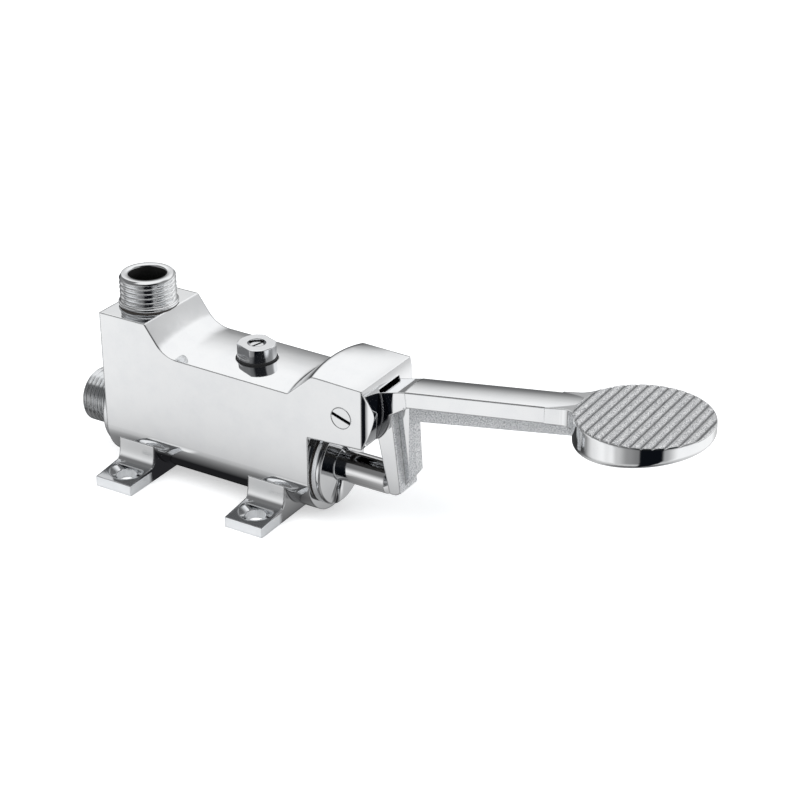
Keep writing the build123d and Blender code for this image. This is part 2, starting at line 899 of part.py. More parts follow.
def ribs():
    """One web down the middle of the arm and the down-arm, with a rounded elbow."""
    far = pad_x - pad_radius + pad_low_round
    rib_far_z = rib_low[1] + slope(rib_slope) * (far - rib_low[0])
    corner_x = rib_low[0] - elbow_back
    outline = make_face(
        polygon(
            [
                (shin[0][0] - 4, arm_top[1] - 4),
                (far, rib_far_z + 6),
                (far, rib_far_z),
                (corner_x, rib_low[1] + slope(rib_slope) * (corner_x - rib_low[0])),
                shin_rib[0],
                shin_rib_toe,
                (shin_rib_toe[0] - 4, shin_rib_toe[1]),
            ]
        )
    )
    elbow = outline.vertices().sort_by_distance(Vector(corner_x, rib_low[1]))[0]
    outline = fillet(elbow, elbow_round)
    return extrude(Plane.XZ * outline, rib_half, both=True)


def down_arm():
    """Flange that hangs in front of the plunger, with a rounded toe."""
    outline = [
        (heel_x(pivot[1]), pivot[1]),
        (heel_x(heel_low[1]), heel_low[1]),
        *heel_toe,
        *shin,
    ]
    shape = plate(polygon(outline), down_half)
    tall = shape.edges().filter_by(lambda edge: edge.length > 10 and abs(edge.center().Y) > 1)
    return fillet(tall, down_round)


def pad():
    """Round pedal pad with cross ribs on top and a sloping underside."""
    tall = 40
    disc = Cylinder(pad_radius, tall, align=(Align.CENTER, Align.CENTER, Align.MAX))
    disc = fillet(disc.edges().sort_by(Axis.Z)[-1], pad_edge)
    disc = Pos(pad_x, 0, pad_top_z) * Rot(0, -pad_tilt, 0) * disc
    under = Plane(origin=(pad_x, 0, pad_low_z), z_dir=(-slope(pad_low_slope), 0, 1))
    disc = split(disc, bisect_by=under, keep=Keep.TOP)
    disc = fillet(disc.faces().sort_by(Axis.Z)[0].edges(), pad_low_round)
    # Rows of part-round ribs: the block below them keeps everything under the valleys.
    half_pitch = pad_rib_pitch / 2
    valley = math.sqrt(pad_rib_radius**2 - half_pitch**2) - pad_rib_radius
    block = Pos(0, 0, valley) * Box(
        4 * pad_radius, 4 * pad_radius, tall, align=(Align.CENTER, Align.CENTER, Align.MAX)
    )
    keep = block
    for row in range(pad_rib_count):
        x = (row - (pad_rib_count - 1) / 2) * pad_rib_pitch
        keep += Pos(x, 0, -pad_rib_radius) * Rot(90, 0, 0) * Cylinder(pad_rib_radius, 4 * pad_radius)
    return disc & (Pos(pad_x, 0, pad_top_z) * Rot(0, -pad_tilt, 0) * keep)


def flare():
    """Hollow curves in plan where the arm widens into the pad, rising to the pad's top."""
    to_pad = pad_radius + flare_round
    across = arm_low_half + flare_round
    start_x = pad_x - math.sqrt(to_pad**2 - across**2)
    touch = (pad_x + (start_x - pad_x) * pad_radius / to_pad, across * pad_radius / to_pad)
    turn = math.degrees(math.asin(across / to_pad))
    near = CenterArc((start_x, -across), flare_round, turn, 90 - turn)
    far = CenterArc((start_x, across), flare_round, 270, 90 - turn)
    back_x = flare_rise[0]
    plan = make_face(
        near
        + Line((touch[0], -touch[1]), touch)
        + far
        + Line((start_x, arm_low_half), (back_x, arm_low_half))
        + Line((back_x, arm_low_half), (back_x, -arm_low_half))
        + Line((back_x, -arm_low_half), (start_x, -arm_low_half))
    )
    top_z = [arm_top[1] + slope(arm_slope) * (x - arm_top[0]) for x in flare_rise]
    side = polygon(
        [
            (back_x, top_z[0] - arm_depth),
            (back_x, top_z[0]),
            (flare_rise[1], pad_top_z - pad_edge / 2),
            (flare_rise[1], top_z[1] - arm_depth),
        ]
    )
    return extrude(plan, 2 * pad_top_z) & plate(side, pad_radius)


def pedal_lever():
    shape = hub() + arm() + ribs() + down_arm() + pad() + flare()
    bore = Cylinder(pin_radius + running_gap, 3 * slot_half)
    return shape - Pos(pivot[0], 0, pivot[1]) * Rot(90, 0, 0) * bore


pieces = {
    "body": body,
    "outlet_nipple": outlet_nipple,
    "outlet_nipple_seal": outlet_nipple_seal,
    "inlet_nipple": inlet_nipple,
    "regulator_bonnet": regulator_bonnet,
    "regulator_bonnet_seal": regulator_bonnet_seal,
    "regulator_spindle": regulator_spindle,
    "spindle_seal_ring": spindle_seal_ring,
    "throttle_disc": throttle_disc,
    "throttle_washer": throttle_washer,
    "front_cap": front_cap,
    "front_cap_seal": front_cap_seal,
    "plunger": plunger,
    "plunger_seal_rings": plunger_seal_rings,
    "valve_stem": valve_stem,
    "valve_seat": valve_seat,
    "valve_seat_seal": valve_seat_seal,
    "valve_disc": valve_disc,
    "valve_washer": valve_washer,
    "valve_nut": valve_nut,
    "return_spring": return_spring,
    "spring_guide": spring_guide,
    "pivot_pin": pivot_pin,
    "pedal_lever": pedal_lever,
}
for name, make in pieces.items():
    export_step(make(), f"parts/{name}.step")
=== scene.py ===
import math

import bmesh
import bpy
from mathutils import Matrix, Vector


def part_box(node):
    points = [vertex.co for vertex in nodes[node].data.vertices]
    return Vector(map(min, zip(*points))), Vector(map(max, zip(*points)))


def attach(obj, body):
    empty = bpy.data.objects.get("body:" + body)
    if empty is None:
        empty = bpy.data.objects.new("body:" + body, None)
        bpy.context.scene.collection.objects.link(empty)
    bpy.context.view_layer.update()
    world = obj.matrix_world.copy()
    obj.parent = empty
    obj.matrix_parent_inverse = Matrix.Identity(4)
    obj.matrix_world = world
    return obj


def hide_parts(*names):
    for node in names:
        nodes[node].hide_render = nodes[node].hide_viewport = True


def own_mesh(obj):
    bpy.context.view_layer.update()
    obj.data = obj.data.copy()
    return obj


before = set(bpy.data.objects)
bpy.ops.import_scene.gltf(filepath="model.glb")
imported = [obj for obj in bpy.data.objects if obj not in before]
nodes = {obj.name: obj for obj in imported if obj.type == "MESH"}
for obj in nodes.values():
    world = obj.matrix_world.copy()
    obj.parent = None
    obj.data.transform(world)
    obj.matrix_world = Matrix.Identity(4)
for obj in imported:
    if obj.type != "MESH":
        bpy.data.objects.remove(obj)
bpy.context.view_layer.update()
mm = 0.001


# Body: one brass casting, ground, polished and chromed. Its long faces were polished by hand on a
# wheel, so they are a little wavy, and the plating holds a faint haze and a few hairline marks. The
# bores and the underside of the hood carry painted shade, a near-black colour. The feet were reached
# less well by the wheel, so they hold more haze, and their upward faces carry painted shade in grey.


def fill(tree, socket, value):
    """Sets a socket to a number, vector or colour, or links another node's output to it."""
    if isinstance(value, bpy.types.NodeSocket):
        tree.links.new(value, socket)
    else:
        socket.default_value = value


def add_node(tree, kind, **inputs):
    """A new node with its named inputs filled."""
    node = tree.nodes.new(kind)
    for label, value in inputs.items():
        fill(tree, node.inputs[label.replace("_", " ")], value)
    return node


def calc(tree, operation, *values):
    """What a Math node gives; each value is a number or another node's output."""
    node = tree.nodes.new("ShaderNodeMath")
    node.operation = operation
    for socket, value in zip(node.inputs, values):
        fill(tree, socket, value)
    return node.outputs[0]


def product(tree, first, *others):
    """The values multiplied. Of masks, this is where all of them hold."""
    for other in others:
        first = calc(tree, "MULTIPLY", first, other)
    return first


def largest(tree, first, *others):
    """The largest of the values. Of masks, this is where any of them holds."""
    for other in others:
        first = calc(tree, "MAXIMUM", first, other)
    return first


def plus_share(tree, base, share, amount):
    """The base with as much of the amount added as the share says."""
    return calc(tree, "MULTIPLY_ADD", share, amount, base)


def minus(tree, value, taken):
    return calc(tree, "SUBTRACT", value, taken)


def under(tree, value, limit):
    """A mask that is one where the value is less than the limit."""
    return calc(tree, "LESS_THAN", value, limit)


def past(tree, value, limit):
    """A mask that is one where the value is greater than the limit."""
    return calc(tree, "GREATER_THAN", value, limit)


def reach(tree, first, second):
    """How far a point is from an axis, from its two distances across that axis."""
    squares = calc(tree, "ADD", calc(tree, "POWER", first, 2.0), calc(tree, "POWER", second, 2.0))
    return calc(tree, "SQRT", squares)


def ramp(tree, value, low, high, start=0.0, end=1.0):
    """A smooth step from start to end while the value goes from low to high."""
    node = add_node(tree, "ShaderNodeMapRange", Value=value, From_Min=low, From_Max=high, To_Min=start, To_Max=end)
    node.interpolation_type = "SMOOTHSTEP"
    return node.outputs["Result"]


def noise(tree, place, size, detail=2.0, roughness=0.5):
    """Soft random spots of about this size, which is a number or another node's output."""
    scale = calc(tree, "DIVIDE", 1.0, size)
    node = add_node(tree, "ShaderNodeTexNoise", Vector=place, Scale=scale, Detail=detail, Roughness=roughness)
    return node.outputs["Fac"]


def blend_colour(tree, share, first, second):
    """The first colour where the share is nought, the second where it is one."""
    node = tree.nodes.new("ShaderNodeMix")
    node.data_type = "RGBA"
    for socket, value in ((0, share), (6, first), (7, second)):
        fill(tree, node.inputs[socket], (*value, 1.0) if isinstance(value, tuple) else value)
    return node.outputs[2]


def split(tree, vector):
    """The x, y and z of a vector."""
    return tuple(add_node(tree, "ShaderNodeSeparateXYZ", Vector=vector).outputs)


def effect(name, numbers, outputs):
    """An empty shader group with number inputs and the named outputs, ready to be filled."""
    tree = bpy.data.node_groups.new(name, "ShaderNodeTree")
    for label, value in numbers.items():
        socket = tree.interface.new_socket(name=label, in_out="INPUT", socket_type="NodeSocketFloat")
        socket.default_value = value
    for label in outputs:
        tree.interface.new_socket(name=label, in_out="OUTPUT", socket_type="NodeSocketFloat")
    given = tree.nodes.new("NodeGroupInput").outputs
    put = tree.nodes.new("NodeGroupOutput").inputs
    return tree, given, put, tree.nodes.new("ShaderNodeTexCoord").outputs["Object"]


def place_effect(tree, group, **values):
    """The outputs of an effect placed in a material with its own values."""
    node = tree.nodes.new("ShaderNodeGroup")
    node.node_tree = group
    for label, value in values.items():
        node.inputs[label.replace("_", " ")].default_value = value
    return node.outputs


def new_material(name):
    """A material, its node tree and the place on the piece."""
    material = bpy.data.materials.new(name)
    material.use_nodes = True
    tree = material.node_tree
    return material, tree, tree.nodes.new("ShaderNodeTexCoord").outputs["Object"]


def surface(tree, colour, roughness, normal, metallic=0.0):
    """Fills the material's own shader with numbers or other nodes' outputs."""
    shader = tree.nodes["Principled BSDF"]
    for label, value in (("Base Color", colour), ("Roughness", roughness), ("Normal", normal), ("Metallic", metallic)):
        fill(tree, shader.inputs[label], value)


def bump(tree, height, depth, on_top_of=None):
    """A normal for a height whose full range is the given depth, on top of another normal if there is one."""
    node = add_node(tree, "ShaderNodeBump", Height=height, Distance=depth)
    if on_top_of is not None:
        fill(tree, node.inputs["Normal"], on_top_of)
    return node.outputs["Normal"]


def softened_edges(tree, radius):
    """Normals that turn smoothly round sharp edges, as a polishing wheel leaves them."""
    node = add_node(tree, "ShaderNodeBevel", Radius=radius)
    node.samples = 8
    return node.outputs["Normal"]


def facing_direction(tree):
    """The x, y and z of the direction in which a face looks."""
    return split(tree, tree.nodes.new("ShaderNodeNewGeometry").outputs["Normal"])


def dress(material, *names):
    """Gives the named solids this material in place of their plain one."""
    for name in names:
        nodes[name].data.materials.clear()
        nodes[name].data.materials.append(material)


hand_polish, given, put, place = effect(
    "hand polish", {"Wave size": 14 * mm, "Haze": 0.05, "Haze spread": 0.02}, ("Height", "Roughness", "Tarnish")
)
cloud = noise(hand_polish, place, 9 * mm, 4.0, 0.6)
stroked = add_node(hand_polish, "ShaderNodeMapping", Vector=place, Scale=(0.25, 1.0, 3.0)).outputs[0]
hairline = ramp(hand_polish, noise(hand_polish, stroked, 0.5 * mm, 3.0, 0.7), 0.66, 0.74)
hairline_haze = 0.04
haze = plus_share(hand_polish, given["Haze"], minus(hand_polish, cloud, 0.5), given["Haze spread"])
fill(hand_polish, put["Height"], noise(hand_polish, place, given["Wave size"]))
fill(hand_polish, put["Roughness"], plus_share(hand_polish, haze, hairline, hairline_haze))
fill(hand_polish, put["Tarnish"], ramp(hand_polish, cloud, 0.35, 0.8))

chamber_z = 20 * mm
chamber_radius, chamber_end = 12.6 * mm, 79.4 * mm
outlet_radius = 8.6 * mm
hood_back, hood_bottom = 72 * mm, 30 * mm
foot_height, foot_plate = 10 * mm, 4.2 * mm
foot_from, foot_to = 17.5 * mm, 20 * mm
foot_haze, foot_side_haze, foot_side_dull = 0.03, 0.2, 0.85
polish_depth, body_edge = 0.03 * mm, 0.85 * mm
chrome_light, chrome_shade = (0.92, 0.93, 0.94), (0.88, 0.893, 0.91)
foot_top_shade = (0.56, 0.57, 0.585)
bore_shade_colour, bore_roughness = (0.085, 0.084, 0.082), 0.5

cast_chrome, tree, place = new_material("polished chrome on cast brass")
polish = place_effect(tree, hand_polish)
x, y, z = split(tree, place)
up = facing_direction(tree)[2]
off_chamber = reach(tree, y, minus(tree, z, chamber_z))
in_chamber = product(tree, under(tree, off_chamber, chamber_radius), under(tree, x, chamber_end))
in_outlet = product(tree, under(tree, reach(tree, x, y), outlet_radius), past(tree, z, chamber_z))
# Painted shade: the bores and the down-facing underside of the hood are coloured near black.
under_hood = product(tree, ramp(tree, up, -0.85, -0.5, 1.0, 0.0), past(tree, x, hood_back), past(tree, z, hood_bottom))
dark = largest(tree, in_chamber, in_outlet, under_hood)
beside_body = ramp(tree, calc(tree, "ABSOLUTE", y), foot_from, foot_to)
on_foot = product(tree, beside_body, under(tree, z, foot_height))
upright = ramp(tree, calc(tree, "ABSOLUTE", up), 0.3, 0.6, 1.0, 0.0)
foot_side = product(tree, on_foot, under(tree, z, foot_plate), upright)
foot_top = product(tree, on_foot, ramp(tree, up, 0.9, 0.97))
plated = blend_colour(tree, polish["Tarnish"], chrome_light, chrome_shade)
# Painted shade: the feet's upward faces are coloured grey.
plated = blend_colour(tree, foot_top, plated, foot_top_shade)
worn = plus_share(tree, polish["Roughness"], on_foot, foot_haze)
worn = plus_share(tree, worn, foot_side, foot_side_haze)
surface(
    tree,
    colour=blend_colour(tree, dark, plated, bore_shade_colour),
    roughness=plus_share(tree, worn, dark, bore_roughness),
    normal=bump(tree, polish["Height"], polish_depth, softened_edges(tree, body_edge)),
    metallic=plus_share(tree, 1.0, foot_side, -foot_side_dull),
)
dress(cast_chrome, "body")


# Foot roots: where each foot runs up into the belly the casting is ground to a hollow curve, with a
# straight low lip behind the dished screw hole. They are part of the casting, laid on its webs.
foot_middles = (2.9 * mm, 61.4 * mm)
root_half = 7.97 * mm
# The curve's four corner points and the straight back, as (y, z) in millimetres.
root_curve = ((18.4, 5.15), (16.9, 5.5), (16.25, 7.6), (16.0, 13.9))
root_back = ((15.4, 13.9), (15.4, 4.2), (18.4, 4.2))
curve_steps = 16


def curve_point(corners, share):
    """A point on the smooth curve that four corner points pull into shape."""
    left = 1.0 - share
    weights = (left**3, 3 * left**2 * share, 3 * left * share**2, share**3)
    return tuple(sum(weight * corner[k] for weight, corner in zip(weights, corners)) for k in (0, 1))


def in_scene(name, data):
    """A new object at the origin of the scene."""
    thing = bpy.data.objects.new(name, data)
    bpy.context.scene.collection.objects.link(thing)
    return thing


def finished_piece(name, shape):
    """The piece made from a bmesh shape, with its faces outwards."""
    bmesh.ops.recalc_face_normals(shape, faces=shape.faces)
    mesh = bpy.data.meshes.new(name)
    shape.to_mesh(mesh)
    shape.free()
    return in_scene(name, mesh)


root_outline = [curve_point(root_curve, step / curve_steps) for step in range(curve_steps + 1)] + list(root_back)
shape = bmesh.new()
for foot_x in foot_middles:
    for side in (-1, 1):
        near, far = ([shape.verts.new((foot_x + end * root_half, side * y * mm, z * mm)) for y, z in root_outline]
                     for end in (-1, 1))
        count = len(root_outline)
        for k in range(count):
            ahead = (k + 1) % count
            face = shape.faces.new((near[k], near[ahead], far[ahead], far[k]))
            face.smooth = k < curve_steps
        shape.faces.new(near)
        shape.faces.new(far)
foot_roots = finished_piece("foot_roots", shape)
foot_roots.data.set_sharp_from_angle(angle=math.radians(30))
foot_roots.data.materials.append(cast_chrome)
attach(foot_roots, "valve_body")


# Nipples: two brass tubes turned on a lathe with a half-inch pipe thread cut on the outside, then
# chromed. The inlet one is screwed into the rear of the body, the outlet one stands on its collar.
thread_pitch = 1.814 * mm
thread_depth = 0.95 * mm
thread_radius = 10.4775 * mm
thread_step = 0.12 * mm
thread_fade_in, thread_fade_out = 1.1 * mm, 0.9 * mm
end_chamfer = 0.9 * mm
bore_radius = 7.0 * mm


def turned_blank(name, profile, steps=144):
    """A closed ring of metal: the profile's (radius, z) points go once round the wall's section."""
    shape = bmesh.new()
    loops = []
    for step in range(steps):
        turn = 2 * math.pi * step / steps
        loops.append([shape.verts.new((r * math.cos(turn), r * math.sin(turn), z)) for r, z in profile])
    count = len(profile)
    for step in range(steps):
        here, there = loops[step], loops[(step + 1) % steps]
        for k in range(count):
            face = shape.faces.new((here[k], there[k], there[(k + 1) % count], here[(k + 1) % count]))
            face.smooth = True
    return finished_piece(name, shape)


def threaded_wall(low, high):
    """Points up the straight outer wall, close enough together to carry a thread."""
    count = max(2, round((high - low) / thread_step))
    return [(thread_radius, low + (high - low) * k / count) for k in range(count + 1)]


def nipple_end(end, mouth):
    """The chamfered end of the thread, the end face, and the mouth's (wider, deeper) points in millimetres."""
    rim = [(thread_radius - 0.88 * mm, end - 0.03 * mm), (thread_radius - 1.0 * mm, end)]
    return rim + [(bore_radius + wider * mm, end - deeper * mm) for wider, deeper in mouth]


def shape_tree(name, inputs):
    """An empty geometry group that gives one shape; inputs are numbers, or the name of a socket's kind."""
    tree = bpy.data.node_groups.new(name, "GeometryNodeTree")
    tree.interface.new_socket(name="Shape", in_out="OUTPUT", socket_type="NodeSocketGeometry")
    for label, value in inputs.items():
        is_number = isinstance(value, float)
        kind = "NodeSocketFloat" if is_number else value
        socket = tree.interface.new_socket(name=label, in_out="INPUT", socket_type=kind)
        if is_number:
            socket.default_value = value
    return tree, tree.nodes.new("NodeGroupInput").outputs, tree.nodes.new("NodeGroupOutput").inputs


def vector(tree, x, y, z):
    return add_node(tree, "ShaderNodeCombineXYZ", X=x, Y=y, Z=z).outputs[0]


def moved(tree, geometry, **how):
    """The geometry with the chosen points moved by an offset or to a position."""
    return add_node(tree, "GeometryNodeSetPosition", Geometry=geometry, **how).outputs[0]


def give_shape(tree, geometry, finish, put):
    """Sends the geometry out of the group as one plain mesh in its material."""
    realize = tree.nodes.new("GeometryNodeRealizeInstances")
    tree.links.new(geometry, realize.inputs[0])
    clad = add_node(tree, "GeometryNodeSetMaterial", Geometry=realize.outputs[0], Material=finish)
    tree.links.new(clad.outputs[0], put[0])


def grown(piece, tree, **values):
    """Runs a geometry tree on the piece with these inputs, and keeps the result as a plain mesh."""
    identifiers = {item.name: item.identifier for item in tree.interface.items_tree if item.in_out == "INPUT"}
    modifier = piece.modifiers.new("grow", "NODES")
    modifier.node_group = tree
    for label, value in values.items():
        modifier[identifiers[label.replace("_", " ")]] = value
    piece.update_tag()
    evaluated = piece.evaluated_get(bpy.context.evaluated_depsgraph_get())
    mesh = bpy.data.meshes.new_from_object(evaluated)
    piece.modifiers.remove(modifier)
    piece.data = mesh


thread_cutter, given, put = shape_tree("cut a pipe thread", {
    "Blank": "NodeSocketGeometry", "Pitch": thread_pitch, "Depth": thread_depth, "Crest radius": thread_radius,
    "First z": 0.0, "Last z": 10.0 * mm, "Tilt": 0.0, "Place": "NodeSocketVector", "Finish": "NodeSocketMaterial",
})
x, y, z = split(thread_cutter, thread_cutter.nodes.new("GeometryNodeInputPosition").outputs[0])
turns = calc(thread_cutter, "DIVIDE", calc(thread_cutter, "ARCTAN2", y, x), 2 * math.pi)
climbed = minus(thread_cutter, calc(thread_cutter, "DIVIDE", z, given["Pitch"]), turns)
phase = calc(thread_cutter, "FRACT", climbed)
flank = calc(thread_cutter, "ABSOLUTE", plus_share(thread_cutter, -1.0, phase, 2.0))
groove = ramp(thread_cutter, flank, 0.06, 0.94)
lead_in = ramp(thread_cutter, minus(thread_cutter, z, given["First z"]), 0.0, thread_fade_in)
lead_out = ramp(thread_cutter, minus(thread_cutter, given["Last z"], z), 0.0, thread_fade_out)
depth = product(thread_cutter, groove, given["Depth"], lead_in, lead_out)
radius = reach(thread_cutter, x, y)
inward = calc(thread_cutter, "DIVIDE", product(thread_cutter, depth, -1.0), radius)
offset = vector(thread_cutter, product(thread_cutter, x, inward), product(thread_cutter, y, inward), 0.0)
on_crest = past(thread_cutter, radius, minus(thread_cutter, given["Crest radius"], 0.02 * mm))
carved = moved(thread_cutter, given["Blank"], Selection=on_crest, Offset=offset)
tilt = vector(thread_cutter, 0.0, given["Tilt"], 0.0)
set_up = add_node(thread_cutter, "GeometryNodeTransform", Geometry=carved, Rotation=tilt, Translation=given["Place"])
give_shape(thread_cutter, set_up.outputs[0], given["Finish"], put)

lathe_marks, given, put, place = effect(
    "lathe marks", {"Ring pitch": 0.35 * mm, "Haze": 0.07}, ("Height", "Roughness")
)
x, y, z = split(lathe_marks, place)
feed = calc(lathe_marks, "ADD", reach(lathe_marks, y, minus(lathe_marks, z, chamber_z)), x)
rings = calc(lathe_marks, "DIVIDE", product(lathe_marks, feed, 2 * math.pi), given["Ring pitch"])
patchy = noise(lathe_marks, place, 2.5 * mm, 3.0)
fill(lathe_marks, put["Height"], product(lathe_marks, calc(lathe_marks, "SINE", rings), patchy))
fill(lathe_marks, put["Roughness"], plus_share(lathe_marks, given["Haze"], patchy, 0.05))

# The bores carry painted shade, a near-black colour, but for a bright lip at the open end.
bored_radius, bright_lip = 7.25 * mm, 0.6 * mm
turned_chrome, tree, place = new_material("chromed thread")
marks = place_effect(tree, lathe_marks, Haze=0.06)
polish = place_effect(tree, hand_polish, Wave_size=5 * mm)
x, y, z = split(tree, place)
outlet_low, outlet_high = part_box("outlet_nipple")
inlet_low, inlet_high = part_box("inlet_nipple")
in_outlet = product(tree, under(tree, reach(tree, x, y), bored_radius), under(tree, z, outlet_high.z - bright_lip))
off_inlet = reach(tree, y, minus(tree, z, chamber_z))
in_inlet = product(tree, under(tree, off_inlet, bored_radius), past(tree, x, inlet_low.x + bright_lip))
bored = largest(tree, in_outlet, in_inlet)
plated = blend_colour(tree, polish["Tarnish"], (0.88, 0.89, 0.90), (0.78, 0.795, 0.81))
surface(
    tree,
    colour=blend_colour(tree, bored, plated, bore_shade_colour),
    roughness=plus_share(tree, marks["Roughness"], bored, bore_roughness),
    normal=bump(tree, marks["Height"], 0.004 * mm),
    metallic=1.0,
)

collar_z, collar_height, collar_radius, collar_edge = 64.5 * mm, 1.2 * mm, 11.1 * mm, 0.25 * mm
collar_top = collar_z + collar_height
shank_radius = 8.5 * mm
wall_top = outlet_high.z - end_chamfer
profile = [
    (bore_radius, outlet_low.z),
    (shank_radius, outlet_low.z),
    (shank_radius, collar_z),
    (collar_radius - collar_edge, collar_z),
    (collar_radius, collar_z + collar_edge),
    (collar_radius, collar_top - collar_edge),
    (collar_radius - collar_edge, collar_top),
    *threaded_wall(collar_top + 0.02 * mm, wall_top),
    *nipple_end(outlet_high.z, ((0.45, 0.0), (0.3, 0.08), (0.0, 0.5))),
]
outlet_piece = turned_blank("outlet_nipple_threaded", profile)
grown(outlet_piece, thread_cutter, First_z=collar_top + 0.1 * mm, Last_z=wall_top + 0.4 * mm, Finish=turned_chrome)
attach(outlet_piece, "valve_body")
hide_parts("outlet_nipple")

length = inlet_high.x - inlet_low.x
boss_face, root_radius = 10.0 * mm, 10.2275 * mm
profile = [
    (bore_radius, 0.0),
    (root_radius, 0.0),
    (root_radius, boss_face - 0.02 * mm),
    *threaded_wall(boss_face, length - end_chamfer),
    *nipple_end(length, ((0.45, 0.0), (0.0, 0.5))),
]
inlet_piece = turned_blank("inlet_nipple_threaded", profile)
grown(inlet_piece, thread_cutter, First_z=boss_face + 0.1 * mm, Last_z=length - 0.5 * mm, Tilt=-math.pi / 2,
      Place=(inlet_high.x, 0.0, chamber_z), Finish=turned_chrome)
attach(inlet_piece, "valve_body")
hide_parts("inlet_nipple")


# Seals: flat rings of hard fibre under the collars, and moulded black rubber for rings and washers.
# They are stamped or moulded, pressed tight by the metal above them, and show only as thin dark lines.
rubber, tree, place = new_material("black rubber")
grain = noise(tree, place, 0.25 * mm, 4.0, 0.6)
surface(
    tree,
    colour=blend_colour(tree, grain, (0.012, 0.012, 0.013), (0.035, 0.035, 0.037)),
    roughness=ramp(tree, grain, 0.2, 0.8, 0.42, 0.62),
    normal=bump(tree, grain, 0.01 * mm),
)
dress(rubber, "regulator_bonnet_seal", "spindle_seal_ring", "plunger_seal_rings", "throttle_washer", "valve_washer")

fibre, tree, place = new_material("sealing fibre")
fleck = noise(tree, place, 0.35 * mm, 5.0, 0.7)
surface(
    tree,
    colour=blend_colour(tree, fleck, (0.03, 0.028, 0.027), (0.09, 0.075, 0.065)),
    roughness=ramp(tree, fleck, 0.3, 0.7, 0.55, 0.8),
    normal=bump(tree, fleck, 0.02 * mm),
)
dress(fibre, "outlet_nipple_seal", "valve_seat_seal", "front_cap_seal")


# Turned pieces that show: front cap, regulator nut and its spindle, pivot pin and plunger. They are
# brass bar turned on a lathe and chromed, so their faces carry fine rings; their slots carry painted shade.
slot_shade_colour, slot_roughness = (0.015, 0.015, 0.016), 0.5
unshaded_above, shaded_below = 0.15 * mm, 0.4 * mm
turned_edge = 0.3 * mm


def turned_finish(name, light, shade, ring_pitch, ring_depth, haze, slot_along=None, slot_face=0.0):
    """Bright chrome with lathe rings, and painted shade, a near-black colour, in a slot that lies below its face on
    the named axis.
    """
    material, tree, place = new_material(name)
    marks = place_effect(tree, lathe_marks, Ring_pitch=ring_pitch, Haze=haze)
    polish = place_effect(tree, hand_polish, Wave_size=6 * mm)
    colour = blend_colour(tree, polish["Tarnish"], light, shade)
    rough = marks["Roughness"]
    if slot_along is not None:
        level = calc(tree, "ABSOLUTE", split(tree, place)["XYZ".index(slot_along)])
        # Painted shade: the slot is coloured near black below the face.
        slot_shade = ramp(tree, level, slot_face - shaded_below, slot_face - unshaded_above, 1.0, 0.0)
        colour = blend_colour(tree, slot_shade, colour, slot_shade_colour)
        rough = plus_share(tree, rough, slot_shade, slot_roughness)
    normal = bump(tree, marks["Height"], ring_depth, softened_edges(tree, turned_edge))
    surface(tree, colour, rough, normal, metallic=1.0)
    return material


dress(turned_finish("chromed turned cap", (0.88, 0.89, 0.90), (0.82, 0.83, 0.85),
                    ring_pitch=0.45 * mm, ring_depth=0.003 * mm, haze=0.05), "front_cap")
dress(turned_finish("chromed regulator nut", (0.86, 0.87, 0.885), (0.80, 0.815, 0.83),
                    ring_pitch=0.4 * mm, ring_depth=0.002 * mm, haze=0.04), "regulator_bonnet")
dress(turned_finish("slotted spindle end", (0.86, 0.87, 0.885), (0.80, 0.815, 0.83),
                    ring_pitch=0.4 * mm, ring_depth=0.002 * mm, haze=0.05,
                    slot_along="Z", slot_face=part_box("regulator_spindle")[1].z), "regulator_spindle")
dress(turned_finish("chromed pivot pin", (0.89, 0.90, 0.91), (0.84, 0.85, 0.86),
                    ring_pitch=0.5 * mm, ring_depth=0.0015 * mm, haze=0.05,
                    slot_along="Y", slot_face=-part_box("pivot_pin")[0].y), "pivot_pin")
dress(turned_finish("polished plunger", (0.90, 0.905, 0.915), (0.84, 0.85, 0.86),
                    ring_pitch=0.6 * mm, ring_depth=0.001 * mm, haze=0.03), "plunger")

# The solid cap's slot leans to the far side. Screwed further home, it leans as much to the near side.
cap_turn = math.radians(-40)
same_point = 0.001 * mm
chamber_axis = Vector((0, 0, chamber_z))
screwed = Matrix.Translation(chamber_axis) @ Matrix.Rotation(cap_turn, 4, "X") @ Matrix.Translation(-chamber_axis)
cap_mesh = nodes["front_cap"].data.copy()
shape = bmesh.new()
shape.from_mesh(cap_mesh)
bmesh.ops.remove_doubles(shape, verts=shape.verts, dist=same_point)
bmesh.ops.transform(shape, matrix=screwed, verts=shape.verts)
shape.to_mesh(cap_mesh)
shape.free()
cap_mesh.set_sharp_from_angle(angle=math.radians(28))
cap_piece = in_scene("front_cap_screwed_home", cap_mesh)
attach(cap_piece, "valve_body")
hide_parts("front_cap")


# Inner pieces: seat, stem, disc, nut, guide and throttle disc, turned or milled from plain brass bar
# and left bare, so they are yellow with a dull brown film from the water.
brass_colour, brass_dull = (0.72, 0.52, 0.24), (0.55, 0.37, 0.17)
bare_brass, tree, place = new_material("bare turned brass")
marks = place_effect(tree, lathe_marks, Ring_pitch=0.3 * mm, Haze=0.18)
film = ramp(tree, noise(tree, place, 3 * mm, 5.0, 0.65), 0.35, 0.7)
surface(
    tree,
    colour=blend_colour(tree, film, brass_colour, brass_dull),
    roughness=marks["Roughness"],
    normal=bump(tree, marks["Height"], 0.005 * mm),
    metallic=1.0,
)
dress(bare_brass, "throttle_disc", "valve_stem", "valve_seat", "valve_disc", "valve_nut", "spring_guide")


# Return spring: stainless wire wound to an open coil with a closed turn at each end. It sits between
# the guide and the valve disc; in the real valve it gets shorter as the plunger goes in, but here it is wound at one
# length.
spring_steel, tree, place = new_material("drawn stainless wire")
drawing = noise(tree, place, 0.2 * mm, 4.0, 0.6)
surface(
    tree,
    colour=blend_colour(tree, drawing, (0.52, 0.51, 0.49), (0.70, 0.69, 0.67)),
    roughness=ramp(tree, drawing, 0.2, 0.8, 0.2, 0.34),
    normal=bump(tree, drawing, 0.004 * mm),
    metallic=1.0,
)

